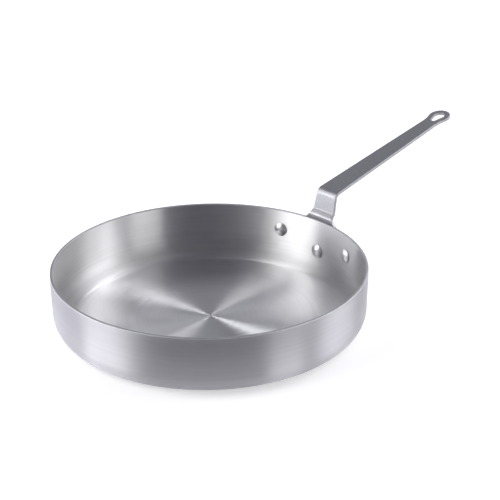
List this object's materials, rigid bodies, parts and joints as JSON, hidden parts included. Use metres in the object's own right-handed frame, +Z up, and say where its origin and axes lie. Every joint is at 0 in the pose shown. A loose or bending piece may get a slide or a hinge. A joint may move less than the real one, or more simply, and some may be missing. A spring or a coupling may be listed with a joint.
{
  "type": "saute pan",
  "caption": "Wide shallow round pan with a near-vertical wall and one long flat strap handle, joggled over the rim and pierced with a teardrop eye to hang it by.",
  "frame": {"origin": "centre of the flat underside of the base, on the pan's axis", "axes": "+Z up the pan's axis, +X towards the tip of the handle"},
  "size_m": [0.5292, 0.32, 0.1382],
  "materials": {
    "pan_body": "satin, turned in fine rings about the axis",
    "handle": "satin, with bright eased edges",
    "rivets": "polished"
  },
  "bodies": {
    "root": {"pan_body": "pan_body", "handle": "handle", "rivet_middle": "rivets", "rivet_left": "rivets", "rivet_right": "rivets"}
  },
  "joints": []
}
